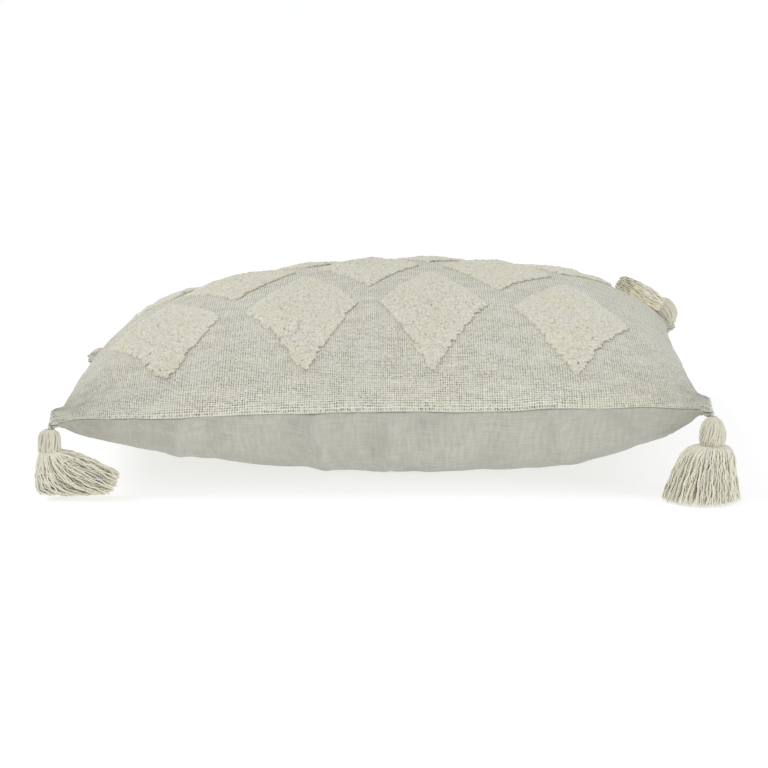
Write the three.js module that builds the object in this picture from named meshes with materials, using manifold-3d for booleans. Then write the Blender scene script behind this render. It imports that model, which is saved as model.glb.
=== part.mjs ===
// A square throw pillow lying on its plain side: a two-panel cotton cover with tufted diamonds
// on the upper panel, a filled insert, a zipper along the rear seam and a yarn tassel at each corner.
// Millimetres, +Z up. The origin is the centre of the flat patch that the pillow rests on, +X runs
// along the front edge to the right and +Y to the rear edge, where the zipper is.
import * as THREE from 'three';
import Module from 'manifold-3d';
import { mergeVertices } from 'three/addons/utils/BufferGeometryUtils.js';

// ---- the cover's form ----
const CLOTH_HALF = 228.5; // half the side of a panel cut 457 mm square
const HALF_WIDTH_FRONT = 214; // centre to corner along X, at the front edge
const HALF_WIDTH_REAR = 219;
const HALF_DEPTH = 215; // centre to corner along Y
const SIDE_PULL_IN = 11; // how far each seam's middle lies inside its corners
const FRONT_PULL_IN = 19;
const REAR_PULL_IN = 12;
const REAR_STRAIGHTNESS = 8; // a high power: the zipper keeps the rear seam straight
const CORNER_HEIGHT = { frontLeft: 49, frontRight: 57.6, rearLeft: 22, rearRight: 48 };
const CROWN = 79.5; // rise of the upper panel above the seams at the middle
const CROWN_POWER = 0.72; // under 1 gives full shoulders
const CROWN_LEAN = -0.03; // share by which the right half stands higher
const SHOULDER_DROP = { left: 47, right: 29 }; // taken off the crown towards the rear corners
const SHOULDER_POWER = 8; // a high power keeps that drop near the sides
const BELLY = 64; // drop of the lower panel below the seams
const BELLY_LEAN = 0.27;
const REST_BLEND = 6; // height over which the belly flattens onto what it lies on
const EVEN_SPACING = 0.145; // keeps equal steps of cloth equally long over the crown
const PANEL_STEPS = 16;

// ---- cloth, insert and filling ----
const SEAM_GAP = 0.3;
const COVER_THICKNESS = 1.2;
const INSERT_PLAY = { edge: 14, face: 2.2 }; // the insert's distance inside the cover
const INSERT_THICKNESS = 0.8;
const FILL_PLAY = { edge: 15.8, face: 4.2 };
const PLAY_SHOULDER = 3; // how fast the play grows from the seams inwards

// ---- tufted diamonds: rows of 4, 3 and 4, in cloth coordinates from the panel's middle ----
const DIAMOND_HALF_WIDTH = 34.5;
const DIAMOND_HALF_LENGTH = 82;
const DIAMOND_COLUMN_PITCH = 84;
const DIAMOND_ROW_PITCH = 117;
const DIAMOND_SHIFT = { x: -8.5, y: -6 };
const DIAMOND_ROWS = [4, 3, 4];
const PILE_BASE = 1.0; // clear of the cloth below
const PILE_TOP = 4.6;
const DIAMOND_STEPS = 6;

// ---- zipper ----
const ZIPPER_HALF = 180;
const SLIT_HALF = 2; // half the gap between the panels' edges at the zipper
const TAPE = { near: 2.3, far: 10.5, gap: 1.8, rise: 5, thickness: 0.8 };
const COIL = { width: 1.8, height: 1.3, depth: 1.4 };
const STOP_LENGTH = 3;
const SLIDER_REST_X = -140;
const SLIDER = { length: 11, height: 7.5, near: 0.5, far: 2.7 };
const PULL_PIN = { y: 5.2, radius: 0.9, half: 3.3, sides: 12, clearance: 0.35 };
const LUG = { inner: 2.5, outer: 3.5, half: 1.6 };
const PULL = { length: 22, thickness: 1.2, height: 4.4, ring: 2.3 };

// ---- tassels ----
// Turned pieces as [radius, distance below the piece's top], from the top down.
const CORD_LENGTH = 4;
const CORD_PROFILE = [[0, 0], [0.9, 0.3], [1.3, 1], [1.3, 3], [0.9, 3.7], [0, CORD_LENGTH]];
const HEAD_LENGTH = 16;
const NECK_RADIUS = 5.6;
const NECK_LENGTH = 3.6; // the stretch that the binding goes round
const HEAD_PROFILE = [[0, 0], [4.2, 0.8], [7.2, 3.2], [8.4, 7.5], [7.6, 12.6], [NECK_RADIUS, HEAD_LENGTH],
  [NECK_RADIUS, HEAD_LENGTH + NECK_LENGTH], [0, HEAD_LENGTH + NECK_LENGTH]];
const WRAP_PROFILE = [[5.95, 0], [6.9, 0], [7.4, 1.6], [6.9, 3.2], [5.95, 3.2], [5.95, 0]];
const PART_GAP = 0.4; // between neighbouring pieces of a tassel
const TASSEL_SIDES = 14;
const SKIRT_RINGS = 6;
const SKIRT_FULLNESS = 0.8; // under 1 spreads the yarn soon after the neck
const FLOOR_CLEARANCE = 0.6; // of a skirt that stands on what the pillow lies on
// root is where the cord leaves the cover, down the way the tassel points at rest, and flat the
// way in which its skirt is pressed thin. The skirt's reach and half width are in millimetres.
const TASSELS = {
  front_left: {
    root: [-215.2, -216.2, 47.6], down: [0, 0, -1], flat: [0, 1, 0],
    reach: 20, width: 24, flatness: 0.7, sideways: [17, 0, 0], stands: true,
  },
  front_right: {
    root: [215.2, -216.2, 56.2], down: [0, 0, -1], flat: [0, 1, 0],
    reach: 29, width: 25, flatness: 0.85, sideways: [-7, 0, 0], stands: true,
  },
  rear_left: {
    root: [-220.5, 217, 25], down: [50, 22, -14], flat: [0, 0, 1],
    reach: 36, width: 15, flatness: 0.5, sideways: [0, 0, 0], stands: false,
  },
  rear_right: {
    root: [220.5, 216.5, 52], down: [-41, -28, 35], flat: [0, 0, 1],
    reach: 36, width: 14, flatness: 0.55, sideways: [0, 0, 0], stands: false,
  },
};

// ---- finishes ----
const finish = (color, roughness, metalness = 0) =>
  new THREE.MeshStandardMaterial({ color, roughness, metalness });
const FRONT_CLOTH = finish(0xd8d5c8, 0.95);
const BACK_CLOTH = finish(0xd2d2c8, 0.92);
const TUFT_YARN = finish(0xe2dfd0, 1.0);
const INSERT_CLOTH = finish(0xeeeeea, 0.9);
const FILLING = finish(0xf4f4f2, 1.0);
const ZIPPER_TAPE = finish(0xd9d4c4, 0.85);
const ZIPPER_NYLON = finish(0xe3dfd2, 0.45);
const ZIPPER_METAL = finish(0xb9b6ad, 0.35, 0.9);
const TASSEL_YARN = finish(0xdcd6c3, 1.0);

// ---------------------------------------------------------------- the pillow's surface

// The seams' height at a place on the pillow, from -1 to 1 across (sx) and along (sy).
function seamHeight(sx, sy) {
  const { frontLeft, frontRight, rearLeft, rearRight } = CORNER_HEIGHT;
  const front = ((1 - sx) * frontLeft + (1 + sx) * frontRight) / 2;
  const rear = ((1 - sx) * rearLeft + (1 + sx) * rearRight) / 2;
  return ((1 - sy) * front + (1 + sy) * rear) / 2;
}

// Flattens a height onto zero, smoothly within REST_BLEND of it.
function restOnFloor(height) {
  if (height >= REST_BLEND) return height;
  if (height <= -REST_BLEND) return 0;
  return (height + REST_BLEND) ** 2 / (4 * REST_BLEND);
}

// A point of a panel. u and v run from -1 to 1 over the cloth, side is 1 for the upper panel and
// -1 for the lower one, and play is how far inside the cover the point lies at the edge and face.
function panelPoint(u, v, side, play = { edge: 0, face: 0 }) {
  const angle = (t) => (Math.PI / 2) * t - EVEN_SPACING * Math.sin(Math.PI * t);
  const [sx, sy] = [Math.sin(angle(u)), Math.sin(angle(v))];
  const [cx, cy] = [Math.max(Math.cos(angle(u)), 0), Math.max(Math.cos(angle(v)), 0)];
  const rearShare = (1 + sy) / 2;
  const halfWidth = THREE.MathUtils.lerp(HALF_WIDTH_FRONT, HALF_WIDTH_REAR, rearShare)
    - SIDE_PULL_IN * (1 - v * v) - play.edge;
  const frontPull = FRONT_PULL_IN * (1 - u * u);
  const rearPull = REAR_PULL_IN * (1 - Math.abs(u) ** REAR_STRAIGHTNESS);
  const halfDepth = HALF_DEPTH - THREE.MathUtils.lerp(frontPull, rearPull, rearShare) - play.edge;
  const slit = SLIT_HALF * (1 - Math.abs(u) ** REAR_STRAIGHTNESS) * Math.max(sy, 0) ** REAR_STRAIGHTNESS;
  const edge = seamHeight(sx, sy) + side * (SEAM_GAP / 2 + slit);
  const fullness = cx * cy;
  const inward = play.face * Math.min(1, PLAY_SHOULDER * fullness);
  const crown = CROWN * (1 + CROWN_LEAN * sx) - rearShare * (
    SHOULDER_DROP.left * ((1 - sx) / 2) ** SHOULDER_POWER
    + SHOULDER_DROP.right * ((1 + sx) / 2) ** SHOULDER_POWER);
  const z = side > 0
    ? edge + crown * fullness ** CROWN_POWER - inward
    : restOnFloor(edge - BELLY * fullness * (1 + BELLY_LEAN * sx)) + inward;
  return new THREE.Vector3(halfWidth * sx, halfDepth * sy, z);
}

// The upper panel's point at a place on the cloth in millimetres, raised off it by height.
function abovePanel(clothX, clothY, height) {
  const step = 0.01;
  const [u, v] = [clothX / CLOTH_HALF, clothY / CLOTH_HALF];
  const here = panelPoint(u, v, 1);
  const across = panelPoint(u + step, v, 1).sub(here);
  const along = panelPoint(u, v + step, 1).sub(here);
  return here.addScaledVector(across.cross(along).normalize(), height);
}

// ---------------------------------------------------------------- closed bodies

// A closed body from corner points and triangles, turned so that its faces point out.
function solidFrom(points, triangles) {
  let volume = 0;
  for (const [a, b, c] of triangles) {
    volume += points[a].dot(points[b].clone().cross(points[c]));
  }
  const facing = volume > 0 ? triangles : triangles.map(([a, b, c]) => [a, c, b]);
  const geometry = new THREE.BufferGeometry().setFromPoints(points);
  geometry.setIndex(facing.flat());
  geometry.computeVertexNormals();
  return geometry;
}

// A closed body between an outer and an inner sheet, each a function of two numbers from 0 to 1.
function slabBetween(outer, inner, steps) {
  const points = [];
  const side = steps + 1;
  for (const sheet of [outer, inner]) {
    for (let i = 0; i <= steps; i += 1) {
      for (let j = 0; j <= steps; j += 1) points.push(sheet(i / steps, j / steps));
    }
  }
  const at = (layer, i, j) => layer * side * side + i * side + j;
  const triangles = [];
  for (let i = 0; i < steps; i += 1) {
    for (let j = 0; j < steps; j += 1) {
      triangles.push([at(0, i, j), at(0, i + 1, j), at(0, i, j + 1)]);
      triangles.push([at(0, i + 1, j), at(0, i + 1, j + 1), at(0, i, j + 1)]);
      triangles.push([at(1, i, j), at(1, i, j + 1), at(1, i + 1, j)]);
      triangles.push([at(1, i + 1, j), at(1, i, j + 1), at(1, i + 1, j + 1)]);
    }
    for (const [a, b] of [[[i, 0], [i + 1, 0]], [[i + 1, steps], [i, steps]],
      [[0, i + 1], [0, i]], [[steps, i], [steps, i + 1]]]) {
      triangles.push([at(0, ...a), at(1, ...a), at(0, ...b)]);
      triangles.push([at(0, ...b), at(1, ...a), at(1, ...b)]);
    }
  }
  return solidFrom(points, triangles);
}

// A closed body through rings of points that all have the same count, with a fan at each end.
function loft(rings) {
  const count = rings[0].length;
  const points = rings.flat();
  const triangles = [];
  for (let ring = 0; ring + 1 < rings.length; ring += 1) {
    for (let k = 0; k < count; k += 1) {
      const [a, b] = [ring * count + k, ring * count + (k + 1) % count];
      triangles.push([a, b, a + count], [b, b + count, a + count]);
    }
  }
  for (const [ring, turn] of [[0, 1], [rings.length - 1, -1]]) {
    const middle = rings[ring].reduce((sum, p) => sum.add(p), new THREE.Vector3()).divideScalar(count);
    points.push(middle);
    for (let k = 0; k < count; k += 1) {
      const [a, b] = [ring * count + k, ring * count + (k + 1) % count];
      triangles.push(turn > 0 ? [points.length - 1, b, a] : [points.length - 1, a, b]);
    }
  }
  return solidFrom(points, triangles);
}

// A solid of revolution about Z from [radius, z] pairs, listed from the top down.
function turned(profile) {
  const outline = profile.map(([radius, z]) => new THREE.Vector2(radius, z)).reverse();
  return new THREE.LatheGeometry(outline, TASSEL_SIDES).rotateX(Math.PI / 2);
}

const wasm = await Module();
wasm.setup();

// Joins overlapping closed bodies into one.
function joined(geometries) {
  const solids = geometries.map((geometry) => {
    const bare = geometry.clone();
    bare.deleteAttribute('normal');
    bare.deleteAttribute('uv');
    const merged = mergeVertices(bare, 1e-4);
    return new wasm.Manifold(new wasm.Mesh({
      numProp: 3,
      vertProperties: new Float32Array(merged.attributes.position.array),
      triVerts: new Uint32Array(merged.index.array),
    }));
  });
  const whole = solids.reduce((sum, solid) => sum.add(solid)).getMesh();
  const geometry = new THREE.BufferGeometry();
  geometry.setAttribute('position', new THREE.BufferAttribute(whole.vertProperties, 3));
  geometry.setIndex(Array.from(whole.triVerts));
  geometry.computeVertexNormals();
  return geometry;
}

function named(name, geometry, material) {
  const mesh = new THREE.Mesh(geometry, material);
  mesh.name = name;
  return mesh;
}

// ---------------------------------------------------------------- cover, insert and tufts

const cloth = (a, b) => [2 * a - 1, 2 * b - 1];

// One panel of cloth as a thin shell that starts at play inside the cover.
function panelShell(side, play, thickness) {
  const within = { edge: play.edge + thickness, face: play.face + thickness };
  return slabBetween(
    (a, b) => panelPoint(...cloth(a, b), side, play),
    (a, b) => panelPoint(...cloth(a, b), side, within),
    PANEL_STEPS,
  );
}

function addCoverAndInsert(group) {
  const onSurface = { edge: 0, face: 0 };
  group.add(
    named('cover_front_panel', panelShell(1, onSurface, COVER_THICKNESS), FRONT_CLOTH),
    named('cover_back_panel', panelShell(-1, onSurface, COVER_THICKNESS), BACK_CLOTH),
    named('insert_top_panel', panelShell(1, INSERT_PLAY, INSERT_THICKNESS), INSERT_CLOTH),
    named('insert_bottom_panel', panelShell(-1, INSERT_PLAY, INSERT_THICKNESS), INSERT_CLOTH),
    named('insert_fill', slabBetween(
      (a, b) => panelPoint(...cloth(a, b), 1, FILL_PLAY),
      (a, b) => panelPoint(...cloth(a, b), -1, FILL_PLAY),
      PANEL_STEPS,
    ), FILLING),
  );
}

// A diamond of pile that follows the cloth under it.
function tuftDiamond(centreX, centreY) {
  const sheet = (height) => (a, b) => abovePanel(
    centreX + (a - b) * DIAMOND_HALF_WIDTH,
    centreY + (a + b - 1) * DIAMOND_HALF_LENGTH,
    height,
  );
  return slabBetween(sheet(PILE_TOP), sheet(PILE_BASE), DIAMOND_STEPS);
}

function addTufts(group) {
  let number = 0;
  DIAMOND_ROWS.forEach((inRow, row) => {
    const y = DIAMOND_SHIFT.y + (row - 1) * DIAMOND_ROW_PITCH;
    for (let column = 0; column < inRow; column += 1) {
      number += 1;
      const x = DIAMOND_SHIFT.x + (column - (inRow - 1) / 2) * DIAMOND_COLUMN_PITCH;
      group.add(named(`tuft_diamond_${String(number).padStart(2, '0')}`, tuftDiamond(x, y), TUFT_YARN));
    }
  });
}

// ---------------------------------------------------------------- zipper
// It is drawn along its own X axis with +Y facing out of the rear seam and Z across the tapes.

// One half of the tape, running from the coil into the cover. side is 1 above and -1 below.
function zipperTape(side) {
  const outline = new THREE.Shape([
    new THREE.Vector2(TAPE.near, side * TAPE.gap),
    new THREE.Vector2(TAPE.far, side * (TAPE.gap + TAPE.rise)),
    new THREE.Vector2(TAPE.far + TAPE.thickness, side * (TAPE.gap + TAPE.rise)),
    new THREE.Vector2(TAPE.near + TAPE.thickness, side * TAPE.gap),
  ]);
  const strip = new THREE.ExtrudeGeometry(outline, { depth: 2 * ZIPPER_HALF, bevelEnabled: false });
  const inward = new THREE.Vector3(0, -1, 0);
  const across = new THREE.Vector3(0, 0, 1);
  const turn = new THREE.Matrix4().makeBasis(inward, across, inward.clone().cross(across));
  return strip.applyMatrix4(turn).translate(ZIPPER_HALF, 0, 0);
}

function zipperCoil(side) {
  const length = 2 * (ZIPPER_HALF - STOP_LENGTH) - 2 * PART_GAP;
  const coil = new THREE.BoxGeometry(length, COIL.width, COIL.height);
  return coil.translate(0, -COIL.depth, side * (COIL.height / 2 + SEAM_GAP / 2));
}

function zipperStop() {
  return new THREE.BoxGeometry(STOP_LENGTH, COIL.width, 2 * COIL.height + SEAM_GAP);
}

// The slider: a plate outside the slit with two lugs that hold the pull's pin.
function zipperSlider() {
  const depth = SLIDER.far - SLIDER.near;
  const plate = new THREE.BoxGeometry(SLIDER.length, depth, SLIDER.height);
  plate.translate(0, (SLIDER.near + SLIDER.far) / 2, 0);
  const lugs = [-1, 1].map((side) => {
    const root = SLIDER.far - depth / 2;
    const tip = PULL_PIN.y + LUG.half;
    const lug = new THREE.BoxGeometry(2 * LUG.half, tip - root, LUG.outer - LUG.inner);
    return lug.translate(0, (root + tip) / 2, (side * (LUG.inner + LUG.outer)) / 2);
  });
  const { radius, half, sides } = PULL_PIN;
  const pin = new THREE.CylinderGeometry(radius, radius, 2 * half, sides);
  pin.rotateX(Math.PI / 2).translate(0, PULL_PIN.y, 0);
  return joined([plate, ...lugs, pin]);
}

// The pull: a ring round the pin and a flat arm, drawn about the pin's own axis.
function zipperPull() {
  const half = PULL.thickness / 2;
  const opening = Math.asin(half / PULL.ring);
  const outline = new THREE.Shape();
  outline.moveTo(PULL.length, -half);
  outline.lineTo(PULL.length, half);
  outline.absarc(0, 0, PULL.ring, opening, 2 * Math.PI - opening, false);
  const bore = new THREE.Path();
  bore.absarc(0, 0, PULL_PIN.radius + PULL_PIN.clearance, 0, 2 * Math.PI, true);
  outline.holes.push(bore);
  const pull = new THREE.ExtrudeGeometry(outline, {
    depth: PULL.height, bevelEnabled: false, curveSegments: PULL_PIN.sides,
  });
  return pull.translate(0, 0, -PULL.height / 2);
}

function addZipper(group) {
  const zipper = new THREE.Group();
  zipper.position.set(0, HALF_DEPTH - REAR_PULL_IN, seamHeight(0, 1));
  zipper.rotation.y = -Math.atan2(CORNER_HEIGHT.rearRight - CORNER_HEIGHT.rearLeft, 2 * HALF_WIDTH_REAR);
  const stops = [['left', -1], ['right', 1]].map(([side, sign]) => {
    const stop = named(`zipper_stop_${side}`, zipperStop(), ZIPPER_METAL);
    stop.position.set(sign * (ZIPPER_HALF - STOP_LENGTH / 2), -COIL.depth, 0);
    return stop;
  });
  const slider = named('zipper_slider', zipperSlider(), ZIPPER_METAL);
  slider.position.x = SLIDER_REST_X;
  const pull = named('zipper_pull', zipperPull(), ZIPPER_METAL);
  pull.position.y = PULL_PIN.y;
  slider.add(pull);
  zipper.add(
    named('zipper_tape_upper', zipperTape(1), ZIPPER_TAPE),
    named('zipper_tape_lower', zipperTape(-1), ZIPPER_TAPE),
    named('zipper_coil_upper', zipperCoil(1), ZIPPER_NYLON),
    named('zipper_coil_lower', zipperCoil(-1), ZIPPER_NYLON),
    ...stops,
    slider,
  );
  group.add(zipper);
}

// ---------------------------------------------------------------- tassels
// Each is drawn hanging along -Z from its cord's root, then turned to the way it lies. The front
// tassels hang at the corners with their skirts on the floor, the rear left one lies behind the
// rear seam, and the rear right one is turned back over its corner and lies on the upper panel.

const turnedBelow = (top, profile) => turned(profile.map(([radius, drop]) => [radius, top - drop]));

function tasselCord() {
  return turnedBelow(0, CORD_PROFILE);
}

// The head: the folded yarn above the binding, with the core that the binding grips.
function tasselHead() {
  return turnedBelow(-CORD_LENGTH - PART_GAP, HEAD_PROFILE);
}

function neckWrap() {
  return turnedBelow(-CORD_LENGTH - 2 * PART_GAP - HEAD_LENGTH, WRAP_PROFILE);
}

// The skirt of loose yarn: rings along a path that starts down the tassel's axis and bends aside.
// Each ring is wide across the path and flat by its own share, and none goes below the floor.
function tasselSkirt({ root, reach, width, flatness, sideways, stands }) {
  const top = -CORD_LENGTH - 2 * PART_GAP - HEAD_LENGTH - NECK_LENGTH;
  const floor = stands ? FLOOR_CLEARANCE - root[2] : -Infinity;
  const rings = [];
  for (let ring = 0; ring <= SKIRT_RINGS; ring += 1) {
    const share = ring / SKIRT_RINGS;
    const opened = Math.sin((share * Math.PI) / 2) ** SKIRT_FULLNESS;
    const spread = THREE.MathUtils.lerp(NECK_RADIUS, width, opened);
    const lean = new THREE.Vector3(...sideways).multiplyScalar(share * share);
    const points = [];
    for (let k = 0; k < TASSEL_SIDES; k += 1) {
      const turn = (2 * Math.PI * k) / TASSEL_SIDES;
      const depth = THREE.MathUtils.lerp(1, flatness, share);
      const [x, y] = [spread * Math.cos(turn), spread * depth * Math.sin(turn)];
      const point = new THREE.Vector3(x, y, top - reach * share).add(lean);
      point.z = Math.max(point.z, floor);
      points.push(point);
    }
    rings.push(points);
  }
  return loft(rings);
}

function addTassels(group) {
  for (const [corner, tassel] of Object.entries(TASSELS)) {
    const holder = new THREE.Group();
    const axis = new THREE.Vector3(...tassel.down).normalize().negate();
    const flat = new THREE.Vector3(...tassel.flat);
    const thin = flat.addScaledVector(axis, -flat.dot(axis)).normalize();
    const across = thin.clone().cross(axis);
    holder.quaternion.setFromRotationMatrix(new THREE.Matrix4().makeBasis(across, thin, axis));
    holder.position.set(...tassel.root);
    holder.add(
      named(`tassel_${corner}_cord`, tasselCord(), TASSEL_YARN),
      named(`tassel_${corner}_head`, tasselHead(), TASSEL_YARN),
      named(`tassel_${corner}_neck_wrap`, neckWrap(), TASSEL_YARN),
      named(`tassel_${corner}_skirt`, tasselSkirt(tassel), TASSEL_YARN),
    );
    group.add(holder);
  }
}

const pillow = new THREE.Group();
pillow.name = 'throw_pillow';
addCoverAndInsert(pillow);
addTufts(pillow);
addZipper(pillow);
addTassels(pillow);

export default pillow;
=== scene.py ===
import math

import bpy
import numpy as np
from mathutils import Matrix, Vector
from mathutils.bvhtree import BVHTree


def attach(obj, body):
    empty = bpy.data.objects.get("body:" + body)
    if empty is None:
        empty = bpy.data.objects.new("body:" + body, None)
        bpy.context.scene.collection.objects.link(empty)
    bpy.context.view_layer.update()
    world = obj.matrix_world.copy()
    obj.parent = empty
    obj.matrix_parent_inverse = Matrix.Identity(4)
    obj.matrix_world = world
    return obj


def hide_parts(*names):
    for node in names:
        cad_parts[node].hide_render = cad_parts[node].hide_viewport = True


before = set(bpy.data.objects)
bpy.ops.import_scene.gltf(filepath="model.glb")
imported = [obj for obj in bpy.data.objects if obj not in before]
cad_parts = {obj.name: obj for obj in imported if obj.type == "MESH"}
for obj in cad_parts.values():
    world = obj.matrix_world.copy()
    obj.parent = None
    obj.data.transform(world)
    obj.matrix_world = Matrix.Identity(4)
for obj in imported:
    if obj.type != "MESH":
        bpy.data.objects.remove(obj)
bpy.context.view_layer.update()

SCENE = bpy.context.scene
MM = 0.001
TURN = 2 * np.pi

# ---- camera, light and floor

VIEW_TARGET = Vector((0.002, 0.0, 0.040))
VIEW_ELEVATION = math.radians(9.5)
VIEW_DISTANCE = 2.9
VIEW_LENS = 194.06


def linked(name, data):
    thing = bpy.data.objects.new(name, data)
    SCENE.collection.objects.link(thing)
    return thing


def add_aimed(name, data, place, direction):
    """A camera or a light at its place, turned to face a direction."""
    thing = linked(name, data)
    thing.location = place
    thing.rotation_euler = direction.to_track_quat("-Z", "Y").to_euler()
    return thing


def add_camera():
    data = bpy.data.cameras.new("camera")
    data.lens = VIEW_LENS
    data.sensor_width = 36.0
    data.clip_end = 100.0
    data.dof.use_dof = False
    away = Vector((0.0, -math.cos(VIEW_ELEVATION), math.sin(VIEW_ELEVATION)))
    SCENE.camera = add_aimed("camera", data, VIEW_TARGET + away * VIEW_DISTANCE, -away)


def add_area_light(name, place, size, power, colour=(1.0, 1.0, 1.0)):
    data = bpy.data.lights.new(name, "AREA")
    data.shape = "DISK"
    data.size = size
    data.energy = power
    data.color = colour
    add_aimed(name, data, place, Vector((0, 0, 0.05)) - Vector(place))


def add_lights():
    world = bpy.data.worlds.new("studio")
    world.use_nodes = True
    background = world.node_tree.nodes["Background"]
    background.inputs["Color"].default_value = (0.97, 0.985, 1.0, 1.0)
    background.inputs["Strength"].default_value = 0.78
    SCENE.world = world
    add_area_light("key", (-1.6, 0.1, 1.8), 1.2, 16.0, (1.0, 0.985, 0.96))
    add_area_light("fill", (1.6, -1.5, 0.4), 0.8, 9.0)
    SCENE.view_settings.view_transform = "Standard"


def add_floor():
    points = np.array([[-20, -20, 0], [20, -20, 0], [20, 20, 0], [-20, 20, 0]], float) / MM
    floor = new_object("floor", points, [np.array([[0, 1, 2, 3]])], floor_material(), smooth=False)
    floor.location.z = -0.0004


# ---- meshes from arrays

def new_object(name, points, face_sets, material, smooth=True, **point_values):
    """An object from points in millimetres and arrays of faces, one array for each face size."""
    mesh = bpy.data.meshes.new(name)
    mesh.vertices.add(len(points))
    mesh.vertices.foreach_set("co", (np.asarray(points, np.float64) * MM).astype(np.float32).ravel())
    loops = np.concatenate([np.asarray(faces).ravel() for faces in face_sets]).astype(np.int32)
    sizes = np.concatenate([np.full(len(faces), np.asarray(faces).shape[1]) for faces in face_sets])
    starts = np.concatenate([[0], np.cumsum(sizes)[:-1]]).astype(np.int32)
    mesh.loops.add(len(loops))
    mesh.loops.foreach_set("vertex_index", loops)
    mesh.polygons.add(len(sizes))
    mesh.polygons.foreach_set("loop_start", starts)
    mesh.polygons.foreach_set("use_smooth", np.full(len(sizes), smooth))
    mesh.update(calc_edges=True)
    mesh.validate()
    for key, values in point_values.items():
        values = np.asarray(values, np.float32)
        kind, field = ("FLOAT_VECTOR", "vector") if values.ndim == 2 else ("FLOAT", "value")
        mesh.attributes.new(key, kind, "POINT").data.foreach_set(field, values.ravel())
    if material:
        mesh.materials.append(material)
    return linked(name, mesh)


def grid_quads(rows, columns, first=0):
    i, j = np.meshgrid(np.arange(rows - 1), np.arange(columns - 1), indexing="ij")
    corner = (first + i * columns + j).ravel()
    return np.stack([corner, corner + columns, corner + columns + 1, corner + 1], axis=1)


def declare(thing, body, node):
    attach(thing, body)
    if node:
        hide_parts(node)


def closed_sheet(outer, inner):
    """Points and faces of a closed body between two grids of points. The outer one faces out."""
    rows, columns = outer.shape[:2]
    count = rows * columns
    points = np.concatenate([outer.reshape(-1, 3), inner.reshape(-1, 3)])
    rim = np.concatenate([
        np.arange(columns), np.arange(1, rows) * columns + columns - 1,
        count - 1 - np.arange(1, columns), np.arange(rows - 2, 0, -1) * columns])
    following = np.roll(rim, -1)
    sides = np.stack([rim, following, following + count, rim + count], axis=1)
    back = grid_quads(rows, columns, count)[:, ::-1]
    return points, np.concatenate([grid_quads(rows, columns), back, sides])


def add_sheet(name, outer, inner, material, cloth, **values):
    """A closed sheet. cloth holds the place of each grid point on the flat cloth."""
    points, faces = closed_sheet(outer, inner)
    cloth = cloth.reshape(-1, 3) * MM
    return new_object(name, points, [faces], material, cloth=np.concatenate([cloth, cloth]), **values)


def square_grid(line):
    return np.meshgrid(line, line, indexing="ij")


def xyz(x, y, z):
    return np.stack([x, y, z], -1)


def unit(vectors):
    return vectors / np.maximum(np.linalg.norm(vectors, axis=-1, keepdims=True), 1e-9)


def ring_walls(rings, sides):
    """Quads between rings of points that follow one another."""
    ring = np.arange(sides)
    step = np.arange(rings - 1)[:, None] * sides
    following = (ring + 1) % sides
    corners = [step + ring, step + following, step + sides + following, step + sides + ring]
    return np.stack(corners, axis=-1).reshape(-1, 4)


def tubes(paths, radii, sides=6, lobe=0.0, lobe_turns=0.0):
    """Closed tubes along many paths at once: paths is (tube, point, xyz), radii (tube, point) or one.
    lobe is how far a two-ply section stands out, and lobe_turns how often it turns on its way."""
    count, steps = paths.shape[:2]
    tangents = unit(np.gradient(paths, axis=1))
    aside = np.cross(tangents[:, 0], np.array([0.31, 0.83, 0.47]))
    normals = np.empty_like(paths)
    normals[:, 0] = unit(aside)
    for k in range(1, steps):
        lengthwise = np.sum(normals[:, k - 1] * tangents[:, k], -1, keepdims=True)
        normals[:, k] = unit(normals[:, k - 1] - tangents[:, k] * lengthwise)
    binormals = np.cross(tangents, normals)
    around = np.arange(sides) * TURN / sides
    travel = np.arange(steps)[None, :, None] / (steps - 1) * lobe_turns * TURN
    swell = 1 + lobe * np.cos(2 * (around - travel - np.arange(count)[:, None, None]))
    size = np.broadcast_to(radii, (count, steps))[:, :, None] * swell
    points = (paths[:, :, None]
              + normals[:, :, None] * (size * np.cos(around))[..., None]
              + binormals[:, :, None] * (size * np.sin(around))[..., None])
    ring = np.arange(sides)
    offsets = np.arange(count) * steps * sides
    walls = (ring_walls(steps, sides)[None] + offsets[:, None, None]).reshape(-1, 4)
    starts = ring[::-1][None] + offsets[:, None]
    ends = ring[None] + offsets[:, None] + (steps - 1) * sides
    return points.reshape(-1, 3), [walls, np.concatenate([starts, ends])]


def turned_body(profile, sides):
    """Points and faces of a solid of revolution about Z from [radius, z] pairs, from the top down."""
    profile = np.asarray(profile, float)
    around = np.arange(sides) * TURN / sides
    rings = xyz(profile[:, :1] * np.cos(around), profile[:, :1] * np.sin(around),
                np.repeat(profile[:, 1:], sides, axis=1))
    ring = np.arange(sides)
    caps = np.stack([ring, ring[::-1] + (len(profile) - 1) * sides])
    return rings.reshape(-1, 3), [ring_walls(len(profile), sides)[:, [0, 3, 2, 1]], caps]


def joined(parts):
    """Several (points, face sets) as one."""
    points, faces, first = [], {}, 0
    for these, face_sets in parts:
        points.append(these)
        for one in face_sets:
            faces.setdefault(one.shape[1], []).append(one + first)
        first += len(these)
    return np.concatenate(points), [np.concatenate(sets) for sets in faces.values()]


# ---- seeded noise

NOISE_SIZE = 128
NOISE_TABLES = {}


def smoothstep(t):
    return t * t * (3 - 2 * t)


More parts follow.
